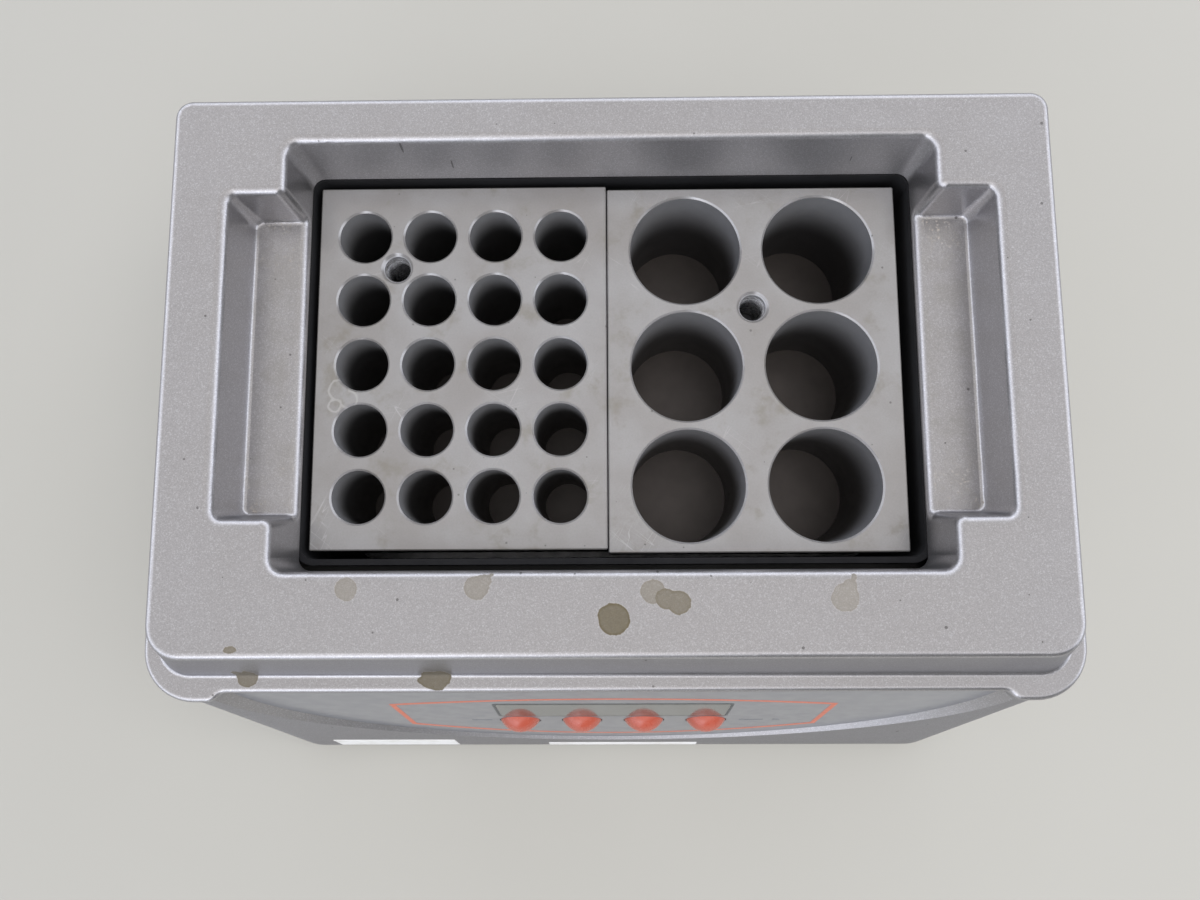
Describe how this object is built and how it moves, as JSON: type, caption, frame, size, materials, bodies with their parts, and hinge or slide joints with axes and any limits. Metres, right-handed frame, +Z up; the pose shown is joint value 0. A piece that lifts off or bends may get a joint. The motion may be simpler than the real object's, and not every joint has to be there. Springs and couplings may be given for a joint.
{
  "type": "dry block heater",
  "caption": "Bench dry block unit: two bored aluminium blocks side by side in a well, sloping panel with display and round keys, rear fan outlet, mains inlet and switch.",
  "frame": {"origin": "centre of the footprint, on the surface that the four feet stand on", "axes": "+Z up, -Y towards the sloping control panel, +X to the right of a person at the panel"},
  "size_m": [0.232, 0.184, 0.1136],
  "materials": {
    "silver_paint": "silver metallic lacquer with a fine sparkle, satin",
    "black_rubber": "matt",
    "dark_plastic": "fine texture",
    "steel_screw": "bright zinc",
    "panel_film": "semi-gloss printed film",
    "window_glass": "glossy grey-green window",
    "display_grey": "satin",
    "circuit_board": "solder mask",
    "block_aluminium": "satin machined",
    "liner_black": "matt",
    "foam_black": "closed-cell foam",
    "plate_aluminium": "milled",
    "white_ceramic": "matt",
    "inlet_black": "satin moulded",
    "brass_pins": "nickel over brass",
    "fuse_glass": "clear tube",
    "orange_button": "smooth moulded, semi-gloss"
  },
  "bodies": {
    "housing": {"top_cover": "silver_paint", "lower_housing": "silver_paint", "seam_gasket": "black_rubber", "base_plate": "dark_plastic", "feet": "black_rubber", "foot_screws": "steel_screw", "base_screws": "steel_screw", "cover_screws": "steel_screw", "panel_overlay": "panel_film", "display_window": "window_glass", "display_module": "display_grey", "tactile_switches": "dark_plastic", "control_board": "circuit_board", "board_screws": "steel_screw", "well_liner": "liner_black", "foam_jacket": "foam_black", "thermal_plate": "plate_aluminium", "peltier_modules": "white_ceramic", "module_frame": "foam_black", "heat_sink": "plate_aluminium", "clamp_screws": "steel_screw", "temperature_sensor": "steel_screw", "thermal_cutout": "white_ceramic", "fan_frame": "dark_plastic", "fan_screws": "steel_screw", "power_inlet": "inlet_black", "inlet_pins": "brass_pins", "switch_housing": "inlet_black", "rocker_pin": "steel_screw", "power_supply": "plate_aluminium", "supply_board": "circuit_board", "driver_board": "circuit_board", "board_standoffs": "brass_pins"},
    "small_block": {"small_bore_block": "block_aluminium"},
    "large_block": {"large_bore_block": "block_aluminium"},
    "fan": {"fan_rotor": "dark_plastic"},
    "rocker": {"power_rocker": "inlet_black"},
    "fuse_tray": {"fuse_drawer": "inlet_black", "fuses": "fuse_glass"},
    "key_1": {"button_1": "orange_button"},
    "key_2": {"button_2": "orange_button"},
    "key_3": {"button_3": "orange_button"},
    "key_4": {"button_4": "orange_button"}
  },
  "joints": [
    {"name": "key_1_press", "type": "slide", "parent": "housing", "child": "key_1", "axis": [0, 0.9432, -0.3322], "range_m": [0, 0.001], "stiffness_N_per_m": 800},
    {"name": "key_2_press", "type": "slide", "parent": "housing", "child": "key_2", "axis": [0, 0.9432, -0.3322], "range_m": [0, 0.001], "stiffness_N_per_m": 800},
    {"name": "key_3_press", "type": "slide", "parent": "housing", "child": "key_3", "axis": [0, 0.9432, -0.3322], "range_m": [0, 0.001], "stiffness_N_per_m": 800},
    {"name": "key_4_press", "type": "slide", "parent": "housing", "child": "key_4", "axis": [0, 0.9432, -0.3322], "range_m": [0, 0.001], "stiffness_N_per_m": 800},
    {"name": "small_block_lift", "type": "slide", "parent": "housing", "child": "small_block", "axis": [0, 0, 1], "range_m": [0, 0.075]},
    {"name": "large_block_lift", "type": "slide", "parent": "housing", "child": "large_block", "axis": [0, 0, 1], "range_m": [0, 0.075]},
    {"name": "fan_spin", "type": "hinge", "parent": "housing", "child": "fan", "pos_m": [0, 0.08, 0.039], "axis": [0, 1, 0], "continuous": true},
    {"name": "rocker_tilt", "type": "hinge", "parent": "housing", "child": "rocker", "pos_m": [-0.09, 0.0872, 0.066], "axis": [1, 0, 0], "range_deg": [0, 14]},
    {"name": "fuse_tray_slide", "type": "slide", "parent": "housing", "child": "fuse_tray", "axis": [0, 1, 0], "range_m": [0, 0.022]}
  ]
}
